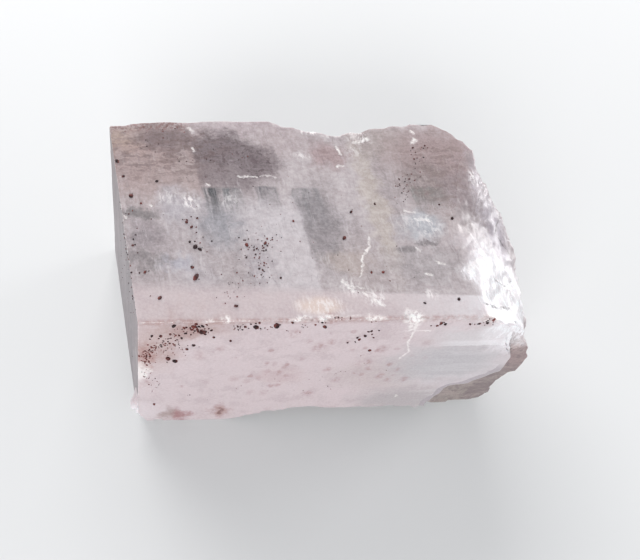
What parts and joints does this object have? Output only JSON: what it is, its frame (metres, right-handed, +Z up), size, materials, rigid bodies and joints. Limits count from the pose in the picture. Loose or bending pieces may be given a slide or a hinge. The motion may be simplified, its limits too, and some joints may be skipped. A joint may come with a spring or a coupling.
{
  "type": "magnesite cleavage specimen",
  "caption": "Milky, see-through magnesite hand specimen: a slanted cleavage block with a broken right end, lying on its flat base.",
  "frame": {"origin": "middle of the specimen's footprint, on the surface that it lies on", "axes": "+X along the front edge towards the broken end, +Y to the back, +Z up out of the flat top face"},
  "size_m": [0.0866, 0.0508, 0.0332],
  "materials": {
    "magnesite": "glassy cleavage faces, milky inside, rust-brown specks"
  },
  "bodies": {
    "root": {"stone": "magnesite"}
  },
  "joints": []
}
